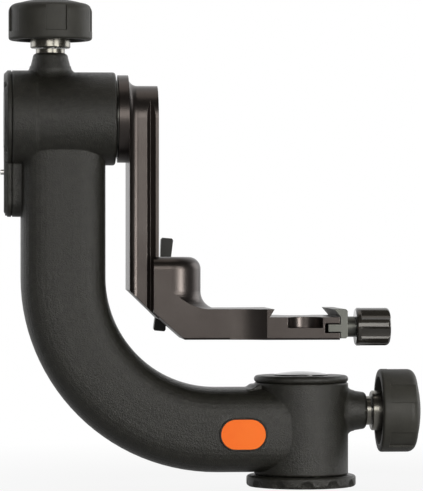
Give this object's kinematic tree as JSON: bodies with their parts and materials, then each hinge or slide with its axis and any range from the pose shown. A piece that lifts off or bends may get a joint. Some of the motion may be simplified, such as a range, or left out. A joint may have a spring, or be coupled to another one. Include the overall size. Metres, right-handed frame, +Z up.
{
  "type": "gimbal tripod head",
  "caption": "Gimbal tripod head: J-shaped arm that pans on a round base, with a swinging rail arm, a sliding platform clamp and lock knobs.",
  "frame": {"origin": "centre of the tripod thread's mouth, on the pan axis in the base's bottom plane", "axes": "+Z up along the pan axis, +X from the upright towards the pan lock knob, parallel to the tilt axis, -Y towards the face with the orange plate"},
  "size_m": [0.2291, 0.0673, 0.2651],
  "materials": {
    "black_paint": "satin",
    "knob_rubber": "matt",
    "dark_anodised": "satin",
    "jaw_anodised": "satin",
    "gloss_black": "gloss",
    "bright_metal": "polished",
    "dark_metal": "polished",
    "steel": "satin",
    "black_steel": "satin",
    "bronze": "satin",
    "orange_plate": "satin"
  },
  "bodies": {
    "base": {"base_ring": "black_paint", "thread_bush": "steel", "spindle_screws": "steel", "pan_spindle": "steel", "pan_washer": "steel", "pan_nut": "steel"},
    "arm": {"arm_casting": "black_paint", "pan_bearing_lower": "bronze", "pan_bearing_upper": "bronze", "pan_cap": "black_paint", "pan_cap_disc": "gloss_black", "side_plate": "orange_plate", "pan_neck_ring": "dark_metal", "tilt_bearing_left": "bronze", "tilt_bearing_right": "bronze", "tilt_end_cover": "black_paint", "cover_screws": "black_steel", "cover_pin": "bright_metal", "tilt_neck_ring": "dark_metal"},
    "pan_plug": {"pan_brake_plug": "bronze"},
    "pan_knob": {"pan_knob_grip": "knob_rubber", "pan_knob_collar": "dark_metal", "pan_lock_stud": "steel"},
    "tilt_plug": {"tilt_brake_plug": "bronze"},
    "tilt_knob": {"tilt_knob_grip": "knob_rubber", "tilt_knob_collar": "dark_metal", "tilt_lock_stud": "steel"},
    "swing": {"swing_arm": "dark_anodised", "tilt_spindle": "steel", "tilt_washer": "steel", "tilt_nut": "steel", "thrust_washer": "black_steel"},
    "carriage": {"carriage_bracket": "dark_anodised"},
    "side_jaw": {"carriage_jaw": "dark_anodised"},
    "wing": {"wing_knob": "dark_anodised", "wing_screw": "steel"},
    "moving_jaw": {"clamp_jaw": "jaw_anodised"},
    "jaw_knob": {"clamp_knob": "gloss_black", "clamp_screw": "steel", "clamp_clip": "steel"}
  },
  "joints": [
    {"name": "pan_turn", "type": "hinge", "parent": "base", "child": "arm", "pos_m": [0, 0, 0.031], "axis": [0, 0, 1], "continuous": true},
    {"name": "pan_plug_slide", "type": "slide", "parent": "arm", "child": "pan_plug", "axis": [1, 0, 0], "range_m": [0, 0.00125]},
    {"name": "pan_lock_turn", "type": "hinge", "parent": "pan_plug", "child": "pan_knob", "pos_m": [0.05, 0, 0.041], "axis": [-1, 0, 0], "range_deg": [0, 361]},
    {"name": "tilt_plug_slide", "type": "slide", "parent": "arm", "child": "tilt_plug", "axis": [0, 0, 1], "range_m": [0, 0.00125]},
    {"name": "tilt_lock_turn", "type": "hinge", "parent": "tilt_plug", "child": "tilt_knob", "pos_m": [-0.1368, 0, 0.25], "axis": [0, 0, 1], "range_deg": [0, 361]},
    {"name": "tilt_swing", "type": "hinge", "parent": "arm", "child": "swing", "pos_m": [-0.09, 0, 0.2], "axis": [1, 0, 0], "continuous": true},
    {"name": "carriage_slide", "type": "slide", "parent": "swing", "child": "carriage", "axis": [0, 0, 1], "range_m": [0, 0.068]},
    {"name": "side_jaw_slide", "type": "slide", "parent": "carriage", "child": "side_jaw", "axis": [0, 1, 0], "range_m": [0, 0.0015]},
    {"name": "wing_turn", "type": "hinge", "parent": "side_jaw", "child": "wing", "pos_m": [-0.0735, 0.03, 0.1096], "axis": [0, -1, 0], "range_deg": [0, 541]},
    {"name": "moving_jaw_slide", "type": "slide", "parent": "carriage", "child": "moving_jaw", "axis": [1, 0, 0], "range_m": [0, 0.005]},
    {"name": "jaw_knob_turn", "type": "hinge", "parent": "moving_jaw", "child": "jaw_knob", "pos_m": [0.04, 0, 0.0868], "axis": [-1, 0, 0], "range_deg": [0, 1801]}
  ],
  "couplings": [
    {"joint": "pan_lock_turn", "follows": "pan_plug_slide", "rad_per_m": 5026.5},
    {"joint": "tilt_lock_turn", "follows": "tilt_plug_slide", "rad_per_m": 5026.5},
    {"joint": "wing_turn", "follows": "side_jaw_slide", "rad_per_m": 6283.2},
    {"joint": "jaw_knob_turn", "follows": "moving_jaw_slide", "rad_per_m": 6283.2}
  ]
}
